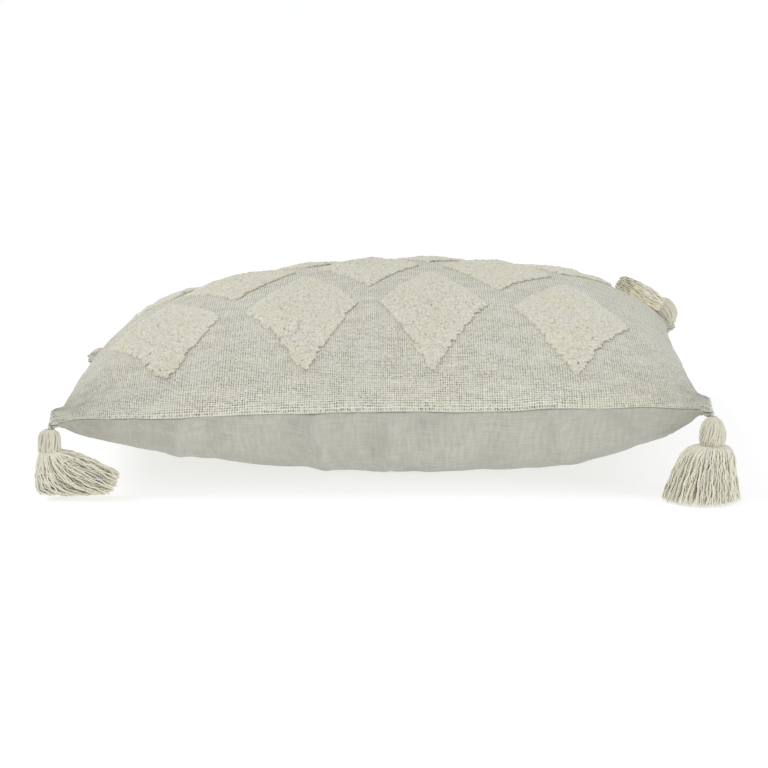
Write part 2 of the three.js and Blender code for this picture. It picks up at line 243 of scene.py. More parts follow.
def noise(x, y, seed):
    """Smooth noise from -1 to 1 with a feature size of 1."""
    if seed not in NOISE_TABLES:
        NOISE_TABLES[seed] = np.random.default_rng(seed).uniform(-1, 1, (NOISE_SIZE, NOISE_SIZE))
    table = NOISE_TABLES[seed]
    xi, yi = np.floor(x).astype(int), np.floor(y).astype(int)
    fx, fy = smoothstep(x - xi), smoothstep(y - yi)

    def corner(a, b):
        return table[(xi + a) % NOISE_SIZE, (yi + b) % NOISE_SIZE]

    return ((corner(0, 0) * (1 - fx) + corner(1, 0) * fx) * (1 - fy)
            + (corner(0, 1) * (1 - fx) + corner(1, 1) * fx) * fy)


def rough_noise(x, y, seed, octaves=3):
    return sum(noise(x * 2 ** k, y * 2 ** k, seed + k) * 0.5 ** k for k in range(octaves))


# ---- the cover's form, as in the CAD model but a little fuller at its rear corners

CLOTH_HALF = 228.5
HALF_WIDTH_FRONT, HALF_WIDTH_REAR, HALF_DEPTH = 214.0, 219.0, 215.0
SIDE_PULL_IN, FRONT_PULL_IN, REAR_PULL_IN, REAR_STRAIGHTNESS = 11.0, 19.0, 12.0, 8
FRONT_LEFT, FRONT_RIGHT, REAR_LEFT, REAR_RIGHT = 49.0, 57.6, 22.0, 48.0
CROWN, CROWN_POWER, CROWN_LEAN = 79.5, 0.72, -0.03
SHOULDER_DROP, SHOULDER_POWER = (34.0, 20.0), 8  # taken off the crown towards the rear corners
BELLY, BELLY_LEAN, REST_BLEND = 64.0, 0.27, 6.0
EVEN_SPACING = 0.145
SEAM_GAP, SLIT_HALF = 0.3, 2.0
SLIT_END, SLIT_CLOSE = 0.655, 0.06  # where the slit for the zipper ends, and how fast it closes
COVER_THICKNESS = 1.2


def cloth_angle(t):
    return np.pi / 2 * t - EVEN_SPACING * np.sin(np.pi * t)


def rest_on_floor(height):
    bent = (height + REST_BLEND) ** 2 / (4 * REST_BLEND)
    return np.where(height >= REST_BLEND, height, np.where(height <= -REST_BLEND, 0.0, bent))


def smooth_form(u, v, side, play_edge=0.0, play_face=0.0):
    """A point of a panel's smooth form. u and v run from -1 to 1 over the cloth."""
    au, av = cloth_angle(u), cloth_angle(v)
    sx, sy = np.sin(au), np.sin(av)
    cx, cy = np.maximum(np.cos(au), 0), np.maximum(np.cos(av), 0)
    rear = (1 + sy) / 2
    half_width = HALF_WIDTH_FRONT + (HALF_WIDTH_REAR - HALF_WIDTH_FRONT) * rear \
        - SIDE_PULL_IN * (1 - v * v) - play_edge
    front_pull = FRONT_PULL_IN * (1 - u * u)
    rear_pull = REAR_PULL_IN * (1 - np.abs(u) ** REAR_STRAIGHTNESS)
    half_depth = HALF_DEPTH - (front_pull * (1 - rear) + rear_pull * rear) - play_edge
    left, right = (1 - sx) / 2, (1 + sx) / 2
    front_seam, rear_seam = left * FRONT_LEFT + right * FRONT_RIGHT, left * REAR_LEFT + right * REAR_RIGHT
    seam = (1 - rear) * front_seam + rear * rear_seam
    fullness = cx * cy
    inward = play_face * np.minimum(1, 3 * fullness)
    if side > 0:
        drop = SHOULDER_DROP[0] * left ** SHOULDER_POWER + SHOULDER_DROP[1] * right ** SHOULDER_POWER
        crown = CROWN * (1 + CROWN_LEAN * sx) - rear * drop
        z = seam + crown * fullness ** CROWN_POWER - inward
    else:
        z = rest_on_floor(seam - BELLY * fullness * (1 + BELLY_LEAN * sx)) + inward
    return xyz(half_width * sx, half_depth * sy, z)


# ---- cloth simulation of the cover

SIM_STEPS = 96  # cloth squares along each side of a panel
SIM_FRAMES = 24
SIM_SLACK = 1.035  # how much larger the cut cloth is than the filled form
SIM_CAP = 7.0  # how far the cloth may move off the smooth form
SIM_KEEP = 6.0  # cloth squares: broader changes than this stay as the smooth form has them
FOLD_SHARE = {1: 0.7, -1: 1.0}  # how strongly each panel shows its folds
CORNER_HOLD = 22.0  # millimetres round each corner in which the seams and tassel hold the cloth
SIM_SEED = 5
SIM_CLOTH = {"quality": 6, "mass": 0.12, "tension_stiffness": 20, "compression_stiffness": 20,
             "shear_stiffness": 8, "bending_stiffness": 0.35, "bending_damping": 0.6,
             "tension_damping": 10, "air_damping": 4, "use_pressure": True, "uniform_pressure_force": 2.2}


def cloth_start():
    """Both panels as one closed mesh on the smooth form, with the flat cloth that it was cut as."""
    u, v = square_grid(np.linspace(-1, 1, SIM_STEPS + 1))
    number = np.arange(u.size).reshape(u.shape)
    inner = np.zeros(u.shape, bool)
    inner[1:-1, 1:-1] = True
    below = number.copy()
    below[inner] = u.size + np.arange(inner.sum())
    top, bottom = smooth_form(u, v, 1), smooth_form(u, v, -1)
    for panel, free, shift in ((top, inner, 0), (bottom, inner & (bottom[..., 2] > 3), 40)):
        panel[..., 2] += np.where(free, 0.5 * rough_noise(u * 22 + shift, v * 22, SIM_SEED), 0)
    points = np.concatenate([top.reshape(-1, 3), bottom[inner]])
    flat = xyz(u, v, np.zeros_like(u)) * CLOTH_HALF * SIM_SLACK
    flat = np.concatenate([flat.reshape(-1, 3), flat[inner]])
    quads = grid_quads(*u.shape)
    return points, flat, [quads, below.ravel()[quads][:, [0, 3, 2, 1]]], number, below


def broad_part(top, bottom):
    """The two panels' values without their fine folds, blurred across the seams that join them."""
    reach = int(3 * SIM_KEEP)
    weights = np.exp(-0.5 * (np.arange(-reach, reach + 1) / SIM_KEEP) ** 2)
    weights /= weights.sum()

    def blurred(panel, other, axis):
        panel, other = np.moveaxis(panel, axis, 0), np.moveaxis(other, axis, 0)
        wide = np.concatenate([other[reach:0:-1], panel, other[-2:-reach - 2:-1]])
        return np.moveaxis(sum(w * wide[k:k + len(panel)] for k, w in enumerate(weights)), 0, axis)

    for axis in (0, 1):
        top, bottom = blurred(top, bottom, axis), blurred(bottom, top, axis)
    return top, bottom


def simulate_cover():
    """How far the cloth moves off the smooth form, for the upper and the lower panel."""
    points, flat, faces, number, below = cloth_start()
    cloth = new_object("cover_cloth", points, faces, None)
    cloth.shape_key_add(name="filled")
    cut = cloth.shape_key_add(name="cut")
    cut.data.foreach_set("co", (flat * MM).astype(np.float32).ravel())
    cut.value = 0.0
    modifier = cloth.modifiers.new("cloth", "CLOTH")
    settings = modifier.settings
    for key, value in SIM_CLOTH.items():
        setattr(settings, key, value)
    settings.effector_weights.gravity = 0.0
    settings.rest_shape_key = cut
    modifier.point_cache.frame_end = SIM_FRAMES
    for step in range(1, SIM_FRAMES + 1):
        SCENE.frame_set(step)
    result = cloth.evaluated_get(bpy.context.evaluated_depsgraph_get()).to_mesh()
    moved = np.empty(len(result.vertices) * 3, np.float32)
    result.vertices.foreach_get("co", moved)
    moved = moved.reshape(-1, 3) / MM - points
    SCENE.frame_set(1)
    bpy.data.meshes.remove(cloth.data)
    top, bottom = moved[number], moved[below]
    broad_top, broad_bottom = broad_part(top, bottom)
    line = 1 - np.abs(np.linspace(-1, 1, SIM_STEPS + 1))
    from_corner = np.hypot(line[:, None], line[None, :]) * CLOTH_HALF
    hold = 1 - np.exp(-(from_corner / CORNER_HOLD) ** 2)
    folds = {}
    for side, part in ((1, top - broad_top), (-1, bottom - broad_bottom)):
        length = np.linalg.norm(part, axis=-1, keepdims=True)
        share = SIM_CAP * np.tanh(length / SIM_CAP) / np.maximum(length, 1e-6)
        folds[side] = part * share * hold[..., None]
    return folds


def cubic_weights(t):
    return [((-t + 2) * t - 1) * t / 2, ((3 * t - 5) * t * t + 2) / 2,
            ((-3 * t + 4) * t + 1) * t / 2, (t - 1) * t * t / 2]


def smooth_sample(grid, u, v):
    """The grid's value at places from -1 to 1, through a Catmull-Rom surface."""
    steps = grid.shape[0] - 1
    x, y = (np.clip(u, -1, 1) + 1) / 2 * steps, (np.clip(v, -1, 1) + 1) / 2 * steps
    xi, yi = np.minimum(x.astype(int), steps - 1), np.minimum(y.astype(int), steps - 1)
    total = 0
    for a, wa in enumerate(cubic_weights(x - xi)):
        for b, wb in enumerate(cubic_weights(y - yi)):
            value = grid[np.clip(xi + a - 1, 0, steps), np.clip(yi + b - 1, 0, steps)]
            total = total + value * (wa * wb)[..., None]
    return total


# ---- the cover's final surface

NORMAL_STEP = 0.004  # of the cloth coordinates, for a normal
PUCKER = 0.55  # of the cloth beside a seam
PUCKER_REACH = 10.0
EAR_HEIGHT = {1: 8.0, -1: 2.0}  # of the stuffed corner above and below the seams
EAR_RISE, EAR_FULL, EAR_END = 2.4, 8.0, 46.0  # from the seams, and from the corner
SEAM_WAVE, SEAM_WAVE_REACH = 1.3, 22.0  # how far the seams rise and fall, and the cloth beside them
SIDE_DENT = (2.0, -0.72, 0.17)  # of the right side by the front corner: depth, place and width
# Soft creases of the lower panel at the front: place across, lean, width and height of each.
CREASES = ((-116, -0.1, 5.0, 5.6), (-104, 0.0, 7.0, -4.4), (-62, 0.1, 8.0, -3.8), (-44, 0.08, 5.0, 5.0),
           (8, -0.05, 6.0, 5.0), (24, 0.0, 9.0, -3.3), (66, 0.0, 9.0, -3.8), (98, 0.2, 5.0, 5.0),
           (128, 0.3, 8.0, -3.8))


def from_seams(u, v):
    """Distances on the flat cloth from the side seams and from the front and rear ones."""
    return (1 - np.abs(u)) * CLOTH_HALF, (1 - np.abs(v)) * CLOTH_HALF


def corner_ear(u, v, side):
    """How far the cloth stands off the seams round each corner, which seams and yarn fill."""
    from_x, from_y = from_seams(u, v)
    near = 1 - np.clip((np.hypot(from_x, from_y) - EAR_FULL) / (EAR_END - EAR_FULL), 0, 1)
    near = smoothstep(near) * np.where(v < 0, 1.0, 0.6)
    rise = (1 - np.exp(-from_x / EAR_RISE)) * (1 - np.exp(-from_y / EAR_RISE))
    return EAR_HEIGHT[side] * near * rise


def front_creases(u, v):
    x, y = u * CLOTH_HALF, (v + 1) * CLOTH_HALF
    fade = np.clip(y / 14.0, 0, 1) * np.exp(-(y / 120.0) ** 2)
    total = 1.8 * noise(x / 26.0, y / 60.0, 43)
    for place, lean, width, height in CREASES:
        middle = place + lean * y + 3.0 * noise(y / 22.0, np.full_like(y, place * 0.1), 41)
        total = total + height * np.exp(1 - np.hypot(1, (x - middle) / width * 1.6))
    return total * fade


def cover_point(u, v, side):
    """A point of the cover's outer face at cloth coordinates from -1 to 1."""
    point = smooth_form(u, v, side) + FOLD_SHARE[side] * smooth_sample(CLOTH_MOVED[side], u, v)
    from_x, from_y = from_seams(u, v)
    at_x = np.exp(-from_x / PUCKER_REACH) * rough_noise(v * 21 + np.sign(u) * 9, u * 3, 31, 2)
    at_y = np.exp(-from_y / PUCKER_REACH) * rough_noise(u * 21 + np.sign(v) * 5, v * 3, 33, 2)
    free = np.minimum(1, np.minimum(from_x, from_y) / 3)
    point[..., 2] += side * (PUCKER * free * (at_x + at_y) + corner_ear(u, v, side))
    if side < 0:
        crease = front_creases(u, v)
        point[..., 1] -= crease * 0.8
        point[..., 2] -= crease * 0.5
    ripple = np.exp(-from_y / SEAM_WAVE_REACH) * (v < 0) * noise(u * 9 + 4, u * 0, 35)
    ripple = ripple + np.exp(-from_x / SEAM_WAVE_REACH) * noise(v * 9 + 4, np.sign(u), 37) * (1 - np.abs(v))
    point[..., 2] += SEAM_WAVE * ripple * np.minimum(1, np.hypot(from_x, from_y) / EAR_END)
    dent = SIDE_DENT[0] * np.exp(-((v - SIDE_DENT[1]) / SIDE_DENT[2]) ** 2)
    point[..., 0] -= dent * np.clip(u, 0, 1) ** 4
    closed = smoothstep(np.clip((np.abs(u) - SLIT_END) / SLIT_CLOSE, 0, 1))
    slit = SLIT_HALF * (1 - closed) * np.maximum(np.sin(cloth_angle(v)), 0) ** REAR_STRAIGHTNESS
    point[..., 2] += side * (SEAM_GAP / 2 + slit)
    point[..., 2] = np.maximum(point[..., 2], 0.0)
    return point


def cover_normal(u, v, side):
    (left, right), (near, far) = [np.clip((w - NORMAL_STEP, w + NORMAL_STEP), -1, 1) for w in (u, v)]
    across = cover_point(right, v, side) - cover_point(left, v, side)
    along = cover_point(u, far, side) - cover_point(u, near, side)
    return unit(np.cross(across, along)) * side


SEAM_DIP = 0.9  # how far the seam lies below the cloth beside it
PANEL_STEPS = 236
# How far inside the cover's form the lining's two faces and the filling lie, at its edge and its faces.
LINING_PLAY, FILLING_PLAY = ((14.0, 2.4), (14.8, 3.2)), (15.8, 4.6)
INSERT_STEPS = 61


def edge_fine_line():
    """Places from -1 to 1, evenly spaced but closer beside the seams."""
    fine = np.array([0, 0.8, 1.8, 3.0]) / CLOTH_HALF
    middle = np.linspace(-1 + 4.6 / CLOTH_HALF, 1 - 4.6 / CLOTH_HALF, PANEL_STEPS)
    return np.concatenate([-1 + fine, middle, (1 - fine)[::-1]])


def add_padded(panel, node):
    declare(panel, "pillow", node)


def add_cover():
    u, v = square_grid(edge_fine_line())
    for side, face, material in ((1, "front", front_cloth_material()), (-1, "back", back_cloth_material())):
        outer = cover_point(u, v, side)
        normal = cover_normal(u, v, side)
        sunk = SEAM_DIP * np.exp(-(np.minimum(*from_seams(u, v)) / SEAM_DIP) ** 2)
        outwards = unit(normal + cover_normal(u, v, -side))
        outer = outer - outwards * sunk[..., None]
        outer[..., 2] = np.maximum(outer[..., 2], 0.0)
        inner = outer - normal * COVER_THICKNESS
        cloth = xyz(u, v, np.full_like(u, 0.01 * side)) * CLOTH_HALF
        outer, inner, cloth = outer[:, ::side], inner[:, ::side], cloth[:, ::side]
        panel = add_sheet(f"cover_{face}", outer, inner, material, cloth)
        add_padded(panel, f"cover_{face}_panel")


def add_insert():
    """The lining bag and the filling inside the cover, a little inside its final surface."""
    u, v = square_grid(np.linspace(-1, 1, INSERT_STEPS))

    def inside(side, edge, face):
        moved = smooth_sample(CLOTH_MOVED[side], u, v) * 0.8
        point = smooth_form(u, v, side, edge, face)
        point = point + moved * (1 - np.maximum(np.abs(u), np.abs(v)) ** 8)[..., None]
        point[..., 2] += side * SEAM_GAP / 2
        return np.maximum(point, [-1e9, -1e9, face * 0.6])

    lining, filling = lining_material(), filling_material()
    cloth = xyz(u, v, np.zeros_like(u)) * CLOTH_HALF
    for side, half in ((1, "top"), (-1, "bottom")):
        outer, inner = [inside(side, *play)[:, ::side] for play in LINING_PLAY]
        panel = add_sheet(f"insert_lining_{half}", outer, inner, lining, cloth)
        add_padded(panel, f"insert_{half}_panel")
    lumps = 0.5 * rough_noise(u * 9, v * 9, 71)[..., None] * [0, 0, 1.0]
    upper, lower = inside(1, *FILLING_PLAY) - 0.5 + lumps, inside(-1, *FILLING_PLAY) + 0.5 + lumps
    add_padded(add_sheet("insert_filling", upper, lower, filling, cloth), "insert_fill")


# ---- tufted diamonds

DIAMOND_HALF_WIDTH, DIAMOND_HALF_LENGTH = 34.5, 82.0
DIAMOND_SIDE = 63.6  # its breadth between two opposite sides
DIAMOND_COLUMN_PITCH, DIAMOND_ROW_PITCH = 84.0, 117.0
DIAMOND_SHIFT = (-8.5, -6.0)
DIAMOND_ROWS = (4, 3, 4)
TIP_SKEW = {1: (8.0, 4.0), 2: (3.0, 3.5), 3: (-1.5, 3.5), 4: (-2.0, 3.5)}  # of the front row's near tips
NUB_PITCH = (2.2, 2.5)  # of the tufts along and across a row
NUB_RADIUS = 1.8
PILE_HEIGHT = 4.3
PILE_RIM, PILE_RISE = 0.34, 6.0  # share of the height at the rim, and where it is full
PILE_FLOOR = 0.5  # share of the height that the tufts reach between their tops
PILE_STEPS = 190
PILE_MARGIN = 1.2  # how far the sheet reaches past the outermost tufts' middles


def pile_height(x, y, centre, seed):
    """Height of the pile at cloth places in millimetres: rounded tufts inside the diamond only."""
    rng = np.random.default_rng(seed)
    size = (NOISE_SIZE, NOISE_SIZE)
    jitter_x, jitter_y = rng.uniform(-0.36, 0.36, (2, *size))
    lift = rng.uniform(0.74, 1.0, size)
    lean = rng.uniform(0, np.pi, size)
    local_x, local_y = x - centre[0], y - centre[1]
    best = np.zeros_like(x)
    for dr in (-1, 0, 1):
        for dc in (-1, 0, 1):
            r = np.round(local_y / NUB_PITCH[1]).astype(int) + dr
            c = np.round(local_x / NUB_PITCH[0]).astype(int) + dc
            own = (c + NOISE_SIZE // 2) % NOISE_SIZE, (r + NOISE_SIZE // 2) % NOISE_SIZE
            nx = (c + jitter_x[own] + 0.5 * (r % 2)) * NUB_PITCH[0]
            ny = (r + jitter_y[own] * 0.8) * NUB_PITCH[1]
            reach = 1 + 0.035 * noise(nx / 11.0 + seed, ny / 16.0, 59)
            inside = np.abs(nx) / DIAMOND_HALF_WIDTH + np.abs(ny) / DIAMOND_HALF_LENGTH <= reach
            dx, dy = local_x - nx, local_y - ny
            cosine, sine = np.cos(lean[own]), np.sin(lean[own])
            along, aside = dx * cosine + dy * sine, -dx * sine + dy * cosine
            far = (along / (NUB_RADIUS * 1.15)) ** 2 + (aside / (NUB_RADIUS * 0.9)) ** 2
            dome = lift[own] * np.sqrt(np.clip(1 - far, 0, 1)) ** 0.75
            best = np.maximum(best, np.where(inside, dome, 0))
    return best


def add_tufts():
    material = pile_material()
    number = 0
    for row, in_row in enumerate(DIAMOND_ROWS):
        for column in range(in_row):
            number += 1
            centre = (DIAMOND_SHIFT[0] + (column - (in_row - 1) / 2) * DIAMOND_COLUMN_PITCH,
                      DIAMOND_SHIFT[1] + (row - 1) * DIAMOND_ROW_PITCH)
            span = 0.5 + PILE_MARGIN / DIAMOND_SIDE
            a, b = square_grid(np.linspace(-span, span, PILE_STEPS + 1))
            x = centre[0] + (a - b) * DIAMOND_HALF_WIDTH
            y = centre[1] + (a + b) * DIAMOND_HALF_LENGTH
            skew_x, skew_y = TIP_SKEW.get(number, (0.0, 0.0))
            below_middle = np.maximum(centre[1] - y, 0) / DIAMOND_HALF_LENGTH
            u, v = (x + skew_x * below_middle) / CLOTH_HALF, (y + skew_y * below_middle) / CLOTH_HALF
            height = pile_height(x, y, centre, 200 + number)
            lie = 0.22 * rough_noise(x / 7.0, y / 7.0, 51)
            fine = 0.12 * rough_noise(x / 0.8, y / 0.8, 57, 2)
            within = 0.5 - np.maximum(np.abs(a), np.abs(b))
            rim = 1 - (1 - PILE_RIM) * np.exp(-np.maximum(within * DIAMOND_SIDE, 0) / PILE_RISE)
            top = (PILE_FLOOR + (1 - PILE_FLOOR) * height) * rim
            raised = np.where(height > 0.04, top * PILE_HEIGHT * (0.9 + lie) + fine, -0.35)
            surface, normal = cover_point(u, v, 1), cover_normal(u, v, 1)
            outer = surface + normal * raised[..., None]
            inner = surface - normal * 0.8
            # depth -1 marks the lower-right edges for a painted shadow line; elsewhere depth holds the
            # pile's height, which sets its painted shade in the material.
            below = np.where((b < -0.46) & (a - b > 0), -1.0, 0.0)
            depth = np.where(height > 0.04, np.clip(height, 0, 1), below).ravel()
            depth = np.concatenate([depth, below.ravel()])
            tuft = add_sheet(f"tuft_{number:02d}", outer, inner, material, xyz(x, y, np.zeros_like(x)),
                             depth=depth)
            declare(tuft, "pillow", f"tuft_diamond_{number:02d}")


# ---- zipper

ZIPPER_PLACE = np.array([0.0, HALF_DEPTH - REAR_PULL_IN, (REAR_LEFT + REAR_RIGHT) / 2])
ZIPPER_SLOPE = math.atan2(REAR_RIGHT - REAR_LEFT, 2 * HALF_WIDTH_REAR)
ZIPPER_HALF = 180.0
TOOTH_PITCH = 1.5
COIL_INSET = 3.4  # of a coil's ends from the zipper's
STITCH_START, STITCH_PITCH, STITCH_LENGTH, STITCH_POINTS = -186, 3.3, 2.5, 7
STITCH_INSET = 4.5  # from the seam


def on_zipper(points):
    """Points drawn along the zipper: X along the seam, Y out of it and Z across the tapes."""
    cosine, sine = math.cos(ZIPPER_SLOPE), math.sin(ZIPPER_SLOPE)
    axes = np.array([[cosine, 0, sine], [0, 1, 0], [-sine, 0, cosine]])
    return points @ axes + ZIPPER_PLACE


def zipper_tape(side):
    """Half of the woven tape, from the teeth into the cover, with ribs along its edge."""
    x, k = np.meshgrid(np.linspace(-ZIPPER_HALF, ZIPPER_HALF, 241), np.linspace(0, 1, 13), indexing="ij")
    y = -2.3 - 8.2 * k
    z = side * (1.8 + 5.0 * k ** 1.2) + 0.12 * noise(x / 6.0, k * 2, 61)
    rib = 0.18 * np.exp(-((k - 0.1) / 0.05) ** 2) + 0.12 * np.exp(-((k - 0.3) / 0.05) ** 2)
    outer = xyz(x, y, z + side * (0.28 + rib))
    inner = xyz(x, y, z - side * 0.28)
    points, faces = closed_sheet(outer[:, ::-side], inner[:, ::-side])
    return on_zipper(points), [faces], np.concatenate([xyz(x, y, z).reshape(-1, 3)] * 2) * MM


def zipper_coil(side):
    """One coil of teeth, wound along the tape's edge, with the cord that runs through it."""
    turns = 2 * (ZIPPER_HALF - COIL_INSET) / TOOTH_PITCH
    t = np.linspace(0, 1, int(turns * 12))
    phase = t * turns * TURN + (np.pi if side > 0 else 0)
    x = -ZIPPER_HALF + COIL_INSET + t * turns * TOOTH_PITCH
    path = xyz(x, -1.4 + 0.72 * np.cos(phase), side * (0.82 + 0.42 * np.sin(phase)))
    cord = xyz(np.linspace(x[0], x[-1], 60), np.full(60, -1.6), np.full(60, side * 0.82))
    points, faces = joined([tubes(path[None], 0.3, sides=5), tubes(cord[None], 0.3)])
    return on_zipper(points), faces


def stitch_row(side):
    """Stitches that hold the tape, on the cover beside the slit."""
    starts = np.arange(STITCH_START, -STITCH_START, STITCH_PITCH)[:, None]
    u = (starts + np.linspace(0, STITCH_LENGTH, STITCH_POINTS)) / CLOTH_HALF * 1.045
    v = np.full_like(u, 1 - STITCH_INSET / CLOTH_HALF)
    lift = 0.32 * np.sin(np.linspace(0, np.pi, STITCH_POINTS)) - 0.08
    return cover_point(u, v, side) + cover_normal(u, v, side) * lift[:, None]


def add_zipper():
    tape, nylon, metal, thread = tape_material(), nylon_material(), metal_material(), yarn_material()
    for side, half in ((1, "upper"), (-1, "lower")):
        points, faces, cloth = zipper_tape(side)
        thing = new_object(f"zipper_{half}_tape", points, faces, tape, cloth=cloth)
        declare(thing, "pillow", f"zipper_tape_{half}")
        thing = new_object(f"zipper_{half}_teeth", *zipper_coil(side), nylon)
        declare(thing, "pillow", f"zipper_coil_{half}")
        points, faces = tubes(stitch_row(side), 0.22)
        full = np.ones(len(points))
        thing = new_object(f"zipper_{half}_stitching", points, faces, thread, shade=0.7 * full, depth=full)
        declare(thing, "pillow", None)
    for node in ("zipper_slider", "zipper_pull", "zipper_stop_left", "zipper_stop_right"):
        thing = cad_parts[node]
        thing.data.materials.clear()
        thing.data.materials.append(metal)
        bevel = thing.modifiers.new("rounded", "BEVEL")
        bevel.width = 0.00025
        bevel.segments = 2
        bevel.limit_method = "ANGLE"


# ---- tassels

YARN_RADIUS = 0.48
TASSEL_ROOTS = {"front_left": (-215.2, -216.2, 47.6), "front_right": (215.2, -216.2, 56.2),
                "rear_left": (-220.5, 217.0, 25.0), "rear_right": (220.5, 216.5, 52.0)}
TASSEL_DOWNS = {"front_left": (0, 0, -1), "front_right": (0, 0, -1),
                "rear_left": (50, 22, -14), "rear_right": (-39, -26, 40)}
HEAD_TOP = -1.6
HEAD_STRANDS, HEAD_STEPS = 66, 30
SWEPT_STRANDS, LYING_STRANDS, SKIRT_STEPS = 520, 330, 44
SURFACE_STEPS = 121  # points along each side of the panel that the rear yarn lies on
# A head's outline as shares of its length with radii, where it ends and how far its yarn turns.
BELL = ((0.0, 2.0), (0.05, 4.2), (0.14, 5.9), (0.3, 6.7), (0.6, 7.0), (0.85, 7.1), (1.0, 7.0)), -16.0, 0.1
DROP = (((0.0, 1.8), (0.06, 3.6), (0.17, 5.8), (0.31, 7.2), (0.55, 8.3), (0.78, 8.3), (0.92, 7.4),
         (1.0, 6.4)), -21.0, 0.7)
# The standing skirt's layers from the outermost: strands, clumps they gather in, share of the width. The
# share also sets how much painted warm shade a layer gets.
SKIRT_LAYERS = ((170, 40, 1.0), (150, 34, 0.9), (130, 24, 0.77), (90, 14, 0.6), (50, 8, 0.4))
PARTING, PARTING_OPENING = -1.85, 0.09  # where the standing yarn opens, and how far
HEADS = {"front_left": BELL, "front_right": DROP, "rear_left": DROP, "rear_right": DROP}


def tassel_frame(corner):
    """The tassel's own axes as columns: across, thin and up, with up against the way it hangs."""
    down = unit(np.array(TASSEL_DOWNS[corner], float))
    flat = np.array([0, 1.0, 0] if corner.startswith("front") else [0, 0, 1.0])
    thin = unit(flat - down * np.dot(flat, down))
    return np.stack([np.cross(thin, -down), thin, -down], axis=1)


def placed(points, corner):
    return points @ tassel_frame(corner).T + np.array(TASSEL_ROOTS[corner])


def in_place(made, corner):
    points, faces = made
    return placed(points, corner), faces


def wander(rng, count, steps, size, waves):
    """Smooth sideways offsets for strands, growing from nothing at their start."""
    t = np.linspace(0, 1, steps)[None, :, None]
    total = 0
    for wave in waves:
        phase = rng.uniform(0, TURN, (count, 1, 3))
        rate = wave * rng.uniform(0.75, 1.3, (count, 1, 3))
        total = total + np.sin(t * rate * TURN + phase) / len(waves)
    return total * size * np.minimum(1, t * 4)


def tassel_head(rng, shape):
    """Folded yarn from the loop to the neck, and the core under it."""
    (outline, bottom, twist), count, steps = shape, HEAD_STRANDS, HEAD_STEPS
    shares, radii = np.array(outline).T
    share = np.linspace(0, 1, steps)
    radius = np.pad(np.interp(share, shares, radii), 1, mode="edge")
    radius = np.convolve(radius, [0.25, 0.5, 0.25], "valid")
    angle = np.linspace(0, TURN, count, endpoint=False)[:, None] + rng.uniform(-0.05, 0.05, (count, 1))
    angle = angle + 0.1 * np.sin(share[None] * 4 + rng.uniform(0, 6, (count, 1)))
    angle = angle + twist * (1 - share[None])
    push = 1 + rng.uniform(-0.03, 0.04, (count, 1)) * np.sin(share[None] * np.pi)
    z = HEAD_TOP + (bottom - HEAD_TOP) * share
    paths = xyz(radius * push * np.cos(angle), radius * push * np.sin(angle),
                np.repeat(z[None], count, axis=0))
    strands = tubes(paths, 0.5, lobe=0.14, lobe_turns=5)
    profile = [(max(r - 0.35, 0.3), HEAD_TOP + (bottom - HEAD_TOP) * s) for s, r in outline]
    profile += [(4.6, bottom - 2.0)]
    return strands, turned_body(profile, 28)


def tassel_binding(shape):
    """The thread wound round the neck."""
    (outline, bottom, _), turns = shape, 4.3
    t = np.linspace(0, 1, 170)
    start, end = outline[-1][1] + 0.15, 5.2
    radius = start + (end - start) * t ** 1.5 + 0.1 * np.sin(t * turns * TURN * 1.7)
    z = bottom + 0.6 - t * 2.4
    path = xyz(radius * np.cos(t * turns * TURN), radius * np.sin(t * turns * TURN), z)
    return tubes(path[None], 0.42, lobe=0.1, lobe_turns=24)


def tassel_loop():
    """Two plies of cord from inside the corner seam to the head."""
    t = np.repeat(np.linspace(0, 1, 24)[None], 2, axis=0)
    turn = np.array([[0], [np.pi]]) + t * TURN * 1.3
    spread = 0.55 + 0.25 * np.sin(t * np.pi)
    paths = xyz(spread * np.cos(turn), spread * np.sin(turn), 0.6 - 5.0 * t)
    return tubes(paths, 0.62, lobe=0.1, lobe_turns=2)


def clumped(rng, count, clumps, gather):
    """Angles for strands all round, at their start and gathered into clumps at their end."""
    angle = np.linspace(0, TURN, count, endpoint=False) + rng.normal(0, 0.04, count)
    middles = np.linspace(0, TURN, clumps, endpoint=False) + rng.uniform(-0.09, 0.09, clumps)
    nearest = np.argmin(np.abs(np.angle(np.exp(1j * (angle[:, None] - middles[None])))), axis=1)
    apart = np.angle(np.exp(1j * (angle - middles[nearest])))
    return angle, angle - apart * gather


def standing_skirt(rng, corner):
    """Yarn that bulges out below the head and stands on the floor all round."""
    steps = SKIRT_STEPS
    floor, bottom = -TASSEL_ROOTS[corner][2], HEADS[corner][1]
    parts, layers = [], []
    for count, clumps, layer in SKIRT_LAYERS:
        first, last = clumped(rng, count, clumps, 0.2)
        from_parting = np.angle(np.exp(1j * (last - PARTING)))
        last = last + PARTING_OPENING * np.sign(from_parting) * np.exp(-(from_parting / 0.3) ** 2)
        t = np.linspace(0, 1, steps)[None]
        angle = first[:, None] + (last - first)[:, None] * t ** 1.2
        own = layer * rng.uniform(0.94, 1.04, (count, 1))
        radius = 4.6 + (12.0 * own - 4.6) * (1 - np.exp(-t / 0.055)) + 12.8 * own * t ** 0.75
        end = floor + rng.uniform(0.5, 2.0, (count, 1))
        top = bottom - 1.2 + 1.8 * layer
        z = top + (end - top) * np.clip(t * 1.04 - 0.04 * (1 - np.exp(-t / 0.05)), 0, 1) ** 1.15
        splay = 1.0 + 0.2 * t * (np.sin(angle) < 0) * np.abs(np.sin(angle))
        across = radius * np.cos(angle) - 7.0 * t ** 0.6
        path = xyz(across, radius * 0.92 * np.sin(angle) * splay, z)
        path = path + wander(rng, count, steps, 0.6, (1.3, 2.9)) * [1, 1, 0.12]
        parts.append(path + wander(rng, count, steps, 0.25, (5.0, 8.0)) * [1, 1, 0])
        layers.append(np.full(count, layer))
    paths = np.concatenate(parts)
    paths[..., 2] = np.maximum(paths[..., 2], floor + YARN_RADIUS)
    # The layers' shares come back as well, to set the strands' painted warm shade.
    return paths, np.concatenate(layers)


